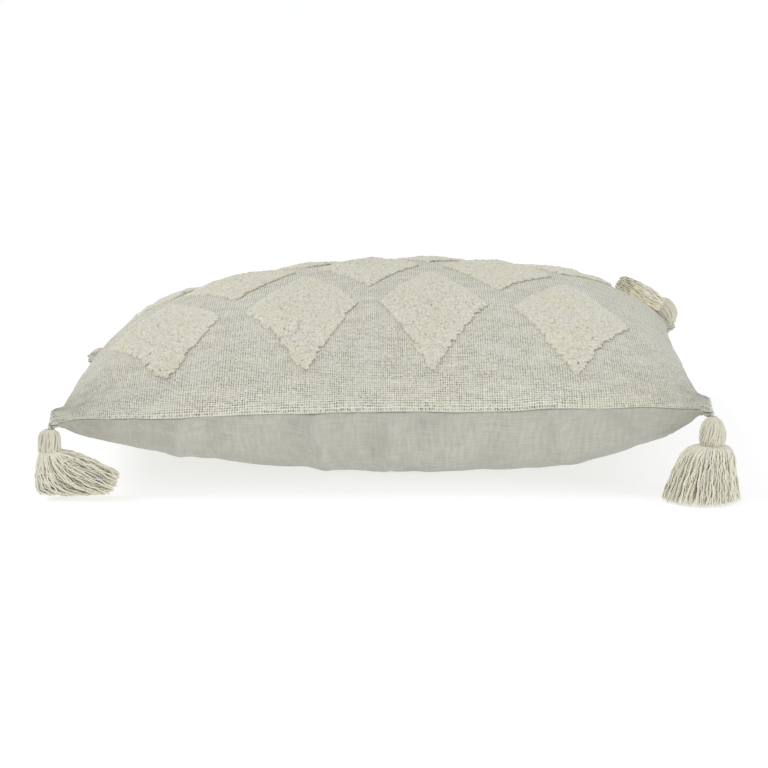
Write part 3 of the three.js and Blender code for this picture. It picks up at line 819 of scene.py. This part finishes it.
def swept_skirt(rng, corner):
    """Yarn whose left strands drop and fold on the floor, and whose right ones sweep aside."""
    count, steps = SWEPT_STRANDS, SKIRT_STEPS
    floor, bottom = -TASSEL_ROOTS[corner][2], HEADS[corner][1]
    w = np.linspace(0, 1, count) ** 0.9
    depth = np.clip(rng.normal(0, 0.8, count), -1.6, 1.6)
    gather = np.round(w * 34) / 34
    t = np.linspace(0, 1, steps)[:, None]
    start = xyz(-6.3 + 12.6 * w, 5.5 * np.sin(depth * 1.2), np.full(count, bottom + 0.6))
    w = w * 0.88 + gather * 0.12
    lean = depth * 3.6 + 3.5
    high = np.clip(w - 0.45, 0, 1)
    knee = xyz(-13.8 + 33 * w, lean * 1.1, floor + 3 + high * 52)
    tip = xyz(-2.5 + 45.0 * (1 - (1 - w) ** 2.2) + rng.normal(0, 1.2, count), lean * 1.6,
              floor + 3.0 + np.clip(w - 0.6, 0, 1) * 30 + rng.uniform(0, 1.5, count))
    start, knee, tip = start[:, None], knee[:, None], tip[:, None]
    paths = start * (1 - t) ** 2 + knee * 2 * t * (1 - t) + tip * t ** 2
    paths = paths + wander(rng, count, steps, 0.8, (1.3, 2.9)) * [1, 1, 0.8]
    paths = paths + wander(rng, count, steps, 0.3, (5.0, 8.0))
    low = floor + 1.2 + rng.uniform(0, 2.5, (count, 1))
    paths[..., 2] = np.maximum(paths[..., 2], low)
    # The second value sets the painted warm shade: more of it for strands that lie further back.
    return paths, np.clip(0.9 - depth * 0.12, 0.7, 1.0)


def lying_skirt(rng, corner, surface):
    """Yarn that lies along its head's line, on the upper panel or on the floor."""
    count, steps = LYING_STRANDS, SKIRT_STEPS
    t = np.linspace(0, 1, steps)[None]
    side = rng.uniform(-1, 1, count)
    layer = rng.uniform(0, 1, count)
    length = 38.0 * rng.uniform(0.95, 1.03, count) * (1 - 0.08 * side ** 2)
    across = 5.4 * side[:, None] + 4.6 * side[:, None] * t ** 0.9
    up = (layer[:, None] * 2 - 1) * (4.8 + 2.2 * np.sin(t * np.pi * 0.7)) - 8.0 * t
    paths = xyz(across, up, HEADS[corner][1] + 0.4 - length[:, None] * t)
    paths = paths + wander(rng, count, steps, 0.7, (1.1, 2.4))
    world = placed(paths.reshape(-1, 3), corner)
    for k, point in enumerate(world):
        hit = surface.ray_cast((point[0], point[1], 400.0), (0, 0, -1))[0]
        ground = 0.0 if hit is None else hit.z
        point[2] = max(point[2], ground + YARN_RADIUS + 0.3 + layer[k // steps] * 3.0)
    # The second value sets the painted warm shade: more of it for strands that lie lower.
    return world.reshape(paths.shape), 0.76 + 0.24 * layer


FRONT_SKIRTS = {"front_left": swept_skirt, "front_right": standing_skirt}


def add_tassels():
    yarn = yarn_material()
    u, v = square_grid(np.linspace(-1, 1, SURFACE_STEPS))
    points = cover_point(u, v, 1).reshape(-1, 3)
    surface = BVHTree.FromPolygons(points.tolist(), grid_quads(SURFACE_STEPS, SURFACE_STEPS).tolist())
    for number, corner in enumerate(TASSEL_ROOTS):
        rng = np.random.default_rng(900 + number)
        body = f"tassel_{corner}"

        def piece(name, made, node, rides, shade=0.5, depth=1.0):
            points, faces = made
            full = np.ones(len(points))
            thing = new_object(f"{body}_{name}", points, faces, yarn, shade=full * shade, depth=full * depth)
            declare(thing, rides, f"{body}_{node}")

        piece("loop", in_place(tassel_loop(), corner), "cord", f"{body}_cord")
        strands, core = tassel_head(rng, HEADS[corner])
        shade = np.repeat(rng.uniform(0, 0.45, HEAD_STRANDS), len(strands[0]) // HEAD_STRANDS)
        shade = np.concatenate([shade, np.zeros(len(core[0]))])
        # Depth 0.85 gives the head yarn a little painted warm shade.
        piece("head_yarn", in_place(joined([strands, core]), corner), "head", body, shade, 0.85)
        piece("binding", in_place(tassel_binding(HEADS[corner]), corner), "neck_wrap", body)
        if corner.startswith("rear"):
            paths, layers = lying_skirt(rng, corner, surface)
        else:
            paths, layers = FRONT_SKIRTS[corner](rng, corner)
            paths = placed(paths.reshape(-1, 3), corner).reshape(paths.shape)
        radii = YARN_RADIUS * rng.uniform(0.85, 1.15, (len(paths), 1)) * np.ones((1, paths.shape[1]))
        radii[:, -2:] *= [0.9, 0.6]
        yarns = tubes(paths, radii, lobe=0.2, lobe_turns=10)
        of_each = len(yarns[0]) // len(paths)
        # The layers go in as depth, which sets the skirt yarn's painted warm shade.
        piece("skirt_yarn", yarns, "skirt", body,
              np.repeat(rng.uniform(0.45, 1, len(paths)), of_each), np.repeat(layers, of_each))


# ---- materials

class Shader:
    """A material's node tree, with short ways to add and join nodes."""

    def __init__(self, name):
        self.material = bpy.data.materials.new(name)
        self.material.use_nodes = True
        self.tree = self.material.node_tree
        self.bsdf = self.tree.nodes["Principled BSDF"]

    def feed(self, node, inputs):
        for key, value in inputs.items():
            if isinstance(value, bpy.types.NodeSocket):
                self.tree.links.new(value, node.inputs[key])
            else:
                node.inputs[key].default_value = value
        return node

    def node(self, kind, inputs=(), **settings):
        node = self.tree.nodes.new(kind)
        for key, value in settings.items():
            setattr(node, key, value)
        return self.feed(node, dict(inputs))

    def math(self, operation, *values):
        return self.node("ShaderNodeMath", dict(enumerate(values)), operation=operation).outputs[0]

    def times(self, first, second):
        return self.math("MULTIPLY", first, second)

    def vector_math(self, operation, first, second):
        return self.node("ShaderNodeVectorMath", {0: first, 1: second}, operation=operation).outputs[0]

    def attribute(self, name):
        return self.node("ShaderNodeAttribute", attribute_name=name).outputs["Fac"]

    def cloth(self):
        """The place on the flat cloth, in metres."""
        return self.node("ShaderNodeAttribute", attribute_name="cloth").outputs["Vector"]

    def place(self):
        return self.node("ShaderNodeTexCoord").outputs["Object"]

    def mapped(self, vector, scale):
        return self.vector_math("MULTIPLY", vector, scale)

    def noise(self, vector, scale, detail=2.0, roughness=0.5):
        values = {"Vector": vector, "Scale": scale, "Detail": detail, "Roughness": roughness}
        return self.node("ShaderNodeTexNoise", values).outputs["Fac"]

    def streaks(self, vector, across, along, detail=2.0, roughness=0.5):
        """Noise stretched along the cloth's threads."""
        return self.noise(self.mapped(vector, (across, along, 0.0)), 1.0, detail, roughness)

    def ramp(self, factor, low, high, bottom=0.0, top=1.0):
        values = {"Value": factor, "From Min": low, "From Max": high, "To Min": bottom, "To Max": top}
        return self.node("ShaderNodeMapRange", values, interpolation_type="SMOOTHSTEP").outputs["Result"]

    def mix(self, factor, first, second):
        first, second = [(*colour, 1) if isinstance(colour, tuple) else colour for colour in (first, second)]
        return self.node("ShaderNodeMix", {0: factor, 6: first, 7: second}, data_type="RGBA").outputs[2]

    def set(self, **values):
        self.feed(self.bsdf, {key.replace("_", " "): value for key, value in values.items()})

    def set_fabric(self, colour, roughness, sheen, sheen_roughness, specular):
        self.set(Base_Color=colour, Roughness=roughness, Sheen_Weight=sheen, Sheen_Roughness=sheen_roughness,
                 Specular_IOR_Level=specular)

    def bump(self, height, distance, strength=1.0):
        node = self.node("ShaderNodeBump", {"Height": height, "Distance": distance, "Strength": strength})
        self.set(Normal=node.outputs["Normal"])


def weave_nodes(shader, vector, pitch, wobble):
    """Height of a plain weave with uneven threads, from 0 in its gaps to 1 on its threads."""
    drift = shader.node("ShaderNodeTexNoise", {"Vector": vector, "Scale": 0.35 / pitch, "Detail": 2.0})
    offset = shader.vector_math("SUBTRACT", drift.outputs["Color"], (0.5, 0.5, 0.5))
    offset = shader.mapped(offset, (wobble * pitch,) * 3)
    moved = shader.vector_math("ADD", vector, offset)
    apart = shader.node("ShaderNodeSeparateXYZ", {0: moved})
    half_turns = math.pi / pitch
    sines = [shader.math("SINE", shader.times(apart.outputs[axis], half_turns)) for axis in (0, 1)]
    over = shader.times(sines[0], sines[1])
    warp, weft = [shader.times(shader.math("ABSOLUTE", sine), shader.math("MULTIPLY_ADD", over, lift, 0.65))
                  for sine, lift in zip(sines, (0.35, -0.35))]
    return shader.math("MAXIMUM", warp, weft)


def front_cloth_material():
    shader = Shader("front_cloth_weave")
    vector = shader.cloth()
    weave = weave_nodes(shader, vector, 0.00138, 0.7)
    weft_slubs = shader.streaks(vector, 80.0, 760.0)
    warp_slubs = shader.streaks(vector, 760.0, 40.0)
    patches = shader.noise(vector, 30.0, 3.0, 0.6)
    openness = shader.noise(vector, 480.0, 2.0, 0.65)
    loose = shader.streaks(vector, 60.0, 110.0)
    thread = shader.math("ADD", shader.ramp(weft_slubs, 0.48, 0.7), shader.ramp(warp_slubs, 0.5, 0.76))
    thread = shader.times(thread, 0.5)
    base = shader.mix(thread, (0.745, 0.725, 0.605), (0.94, 0.93, 0.83))
    base = shader.mix(shader.ramp(patches, 0.3, 0.72, 0.0, 0.3), base, (0.80, 0.80, 0.72))
    # Painted shade: the gaps between the threads are darkened to near black, unevenly across the cloth.
    painted_gap_shade = shader.math("SUBTRACT", 1.0, shader.ramp(weave, 0.3, 0.72))
    painted_gap_shade = shader.times(painted_gap_shade, shader.ramp(openness, 0.34, 0.6, 0.25, 1.0))
    painted_gap_shade = shader.times(painted_gap_shade, shader.ramp(loose, 0.35, 0.65, 0.6, 1.0))
    colour = shader.mix(painted_gap_shade, base, (0.11, 0.092, 0.055))
    shader.set_fabric(colour, 0.95, 0.18, 0.6, 0.2)
    height = shader.math("MULTIPLY_ADD", thread, 0.6, weave)
    shader.bump(height, 0.0006, 0.9)
    return shader.material


def back_cloth_material():
    shader = Shader("back_cloth_plain_weave")
    vector = shader.cloth()
    weave = weave_nodes(shader, vector, 0.00052, 0.5)
    streaks = shader.streaks(vector, 460.0, 50.0, 3.0, 0.6)
    cross = shader.streaks(vector, 50.0, 560.0, 3.0, 0.6)
    cloud = shader.noise(vector, 18.0, 3.0, 0.55)
    thread = shader.times(shader.math("ADD", streaks, cross), 0.5)
    base = shader.mix(shader.ramp(thread, 0.3, 0.7), (0.435, 0.43, 0.36), (0.605, 0.60, 0.535))
    base = shader.mix(shader.ramp(cloud, 0.3, 0.7, 0.0, 0.5), base, (0.455, 0.455, 0.40))
    # Painted shade: the gaps between the threads take a darker colour.
    colour = shader.mix(shader.ramp(weave, 0.1, 0.5, 0.75, 1.0), (0.36, 0.35, 0.29), base)
    shader.set_fabric(colour, 0.92, 0.15, 0.5, 0.2)
    shader.bump(shader.math("MULTIPLY_ADD", thread, 0.3, weave), 0.0002, 0.6)
    return shader.material


def pile_material():
    shader = Shader("tufted_cotton_pile")
    vector = shader.cloth()
    depth = shader.attribute("depth")
    tone = shader.noise(vector, 260.0, 3.0, 0.6)
    cloud = shader.noise(vector, 34.0, 2.0)
    cells = {"Vector": shader.mapped(vector, (620.0, 500.0, 0.0)), "Scale": 1.0, "Randomness": 0.85}
    loops = shader.node("ShaderNodeTexVoronoi", cells, voronoi_dimensions="2D").outputs["Distance"]
    base = shader.mix(shader.ramp(tone, 0.3, 0.7), (0.755, 0.73, 0.605), (0.865, 0.85, 0.74))
    base = shader.mix(shader.ramp(cloud, 0.35, 0.65, 0.0, 0.5), base, (0.81, 0.76, 0.585))
    # Painted shade between the loops: the pile darkens to brown away from each loop's middle.
    between = shader.times(shader.ramp(loops, 0.4, 0.8), 0.38)
    base = shader.mix(between, base, (0.44, 0.38, 0.26))
    # Painted shade: low pile and the tufts' walls take a darker colour, and the lower-right edges (depth -1)
    # a dark brown painted shadow line.
    rim = shader.mix(shader.ramp(depth, -0.75, 0.0), (0.16, 0.11, 0.05), (0.58, 0.54, 0.43))
    colour = shader.mix(shader.ramp(depth, 0.0, 0.45), rim, base)
    fibres = shader.noise(vector, 1700.0, 3.0, 0.65)
    shader.set_fabric(colour, 1.0, 0.25, 0.7, 0.1)
    height = shader.math("MULTIPLY_ADD", loops, -1.3, shader.times(fibres, 0.8))
    shader.bump(height, 0.0009, 0.9)
    return shader.material


def yarn_material():
    shader = Shader("tassel_cotton_yarn")
    place = shader.place()
    shade = shader.attribute("shade")
    depth = shader.attribute("depth")
    base = shader.mix(shade, (0.575, 0.58, 0.52), (0.875, 0.845, 0.69))
    # Painted warm shade: strands with a low depth, the inner, rear and lower ones, take a tan colour.
    base = shader.mix(shader.ramp(depth, 0.5, 1.0), (0.84, 0.71, 0.47), base)
    fine = shader.noise(place, 900.0, 3.0, 0.6)
    colour = shader.mix(shader.ramp(fine, 0.3, 0.7, 0.0, 0.3), base, (0.66, 0.61, 0.48))
    shader.set_fabric(colour, 1.0, 0.25, 0.6, 0.15)
    shader.bump(shader.noise(place, 2600.0, 2.0), 0.00025, 0.7)
    return shader.material


def plain_weave_material(name, pitch, wobble, gap_shade_colour, light, roughness, strength):
    shader = Shader(name)
    weave = weave_nodes(shader, shader.cloth(), pitch, wobble)
    # Painted shade: the weave's gaps take the darker colour, the threads the lighter one.
    shader.set(Base_Color=shader.mix(weave, gap_shade_colour, light), Roughness=roughness, Sheen_Weight=0.1)
    shader.bump(weave, 0.0002, strength)
    return shader.material


def tape_material():
    return plain_weave_material("woven_zipper_tape", 0.0005, 0.2,
                                (0.42, 0.4, 0.33), (0.72, 0.69, 0.6), 0.8, 0.7)


def nylon_material():
    shader = Shader("nylon_teeth")
    place = shader.place()
    tone = shader.noise(place, 120.0, 2.0)
    shader.set(Base_Color=shader.mix(tone, (0.68, 0.65, 0.56), (0.78, 0.755, 0.67)), Roughness=0.38,
               Subsurface_Weight=0.08, Subsurface_Scale=0.001)
    shader.bump(shader.noise(place, 3000.0, 2.0), 0.00004, 0.4)
    return shader.material


def metal_material():
    shader = Shader("die_cast_metal")
    place = shader.place()
    scratches = shader.noise(shader.mapped(place, (400.0, 3000.0, 3000.0)), 1.0, 3.0, 0.7)
    tone = shader.noise(place, 300.0, 2.0)
    roughness = shader.ramp(scratches, 0.3, 0.7, 0.24, 0.42)
    shader.set(Base_Color=shader.mix(tone, (0.55, 0.53, 0.49), (0.66, 0.64, 0.6)), Metallic=1.0,
               Roughness=roughness)
    shader.bump(scratches, 0.00003, 0.3)
    return shader.material


def lining_material():
    return plain_weave_material("lining_cloth", 0.0004, 0.3,
                                (0.7, 0.7, 0.67), (0.82, 0.82, 0.79), 0.85, 0.5)


def filling_material():
    shader = Shader("polyester_filling")
    place = shader.place()
    fluff = shader.noise(place, 160.0, 4.0, 0.7)
    shader.set(Base_Color=shader.mix(fluff, (0.8, 0.8, 0.78), (0.93, 0.93, 0.92)), Roughness=1.0)
    shader.bump(fluff, 0.002, 0.8)
    return shader.material


def floor_material():
    shader = Shader("studio_floor")
    place = shader.place()
    grain = shader.noise(place, 3.0, 2.0)
    shader.set(Base_Color=shader.mix(grain, (0.44, 0.44, 0.44), (0.46, 0.46, 0.46)), Roughness=0.9,
               Specular_IOR_Level=0.2, Emission_Color=(1, 1, 1, 1), Emission_Strength=0.63)
    return shader.material


# ---- build

add_camera()
add_lights()
add_floor()
CLOTH_MOVED = simulate_cover()
add_cover()
add_insert()
add_tufts()
add_zipper()
add_tassels()
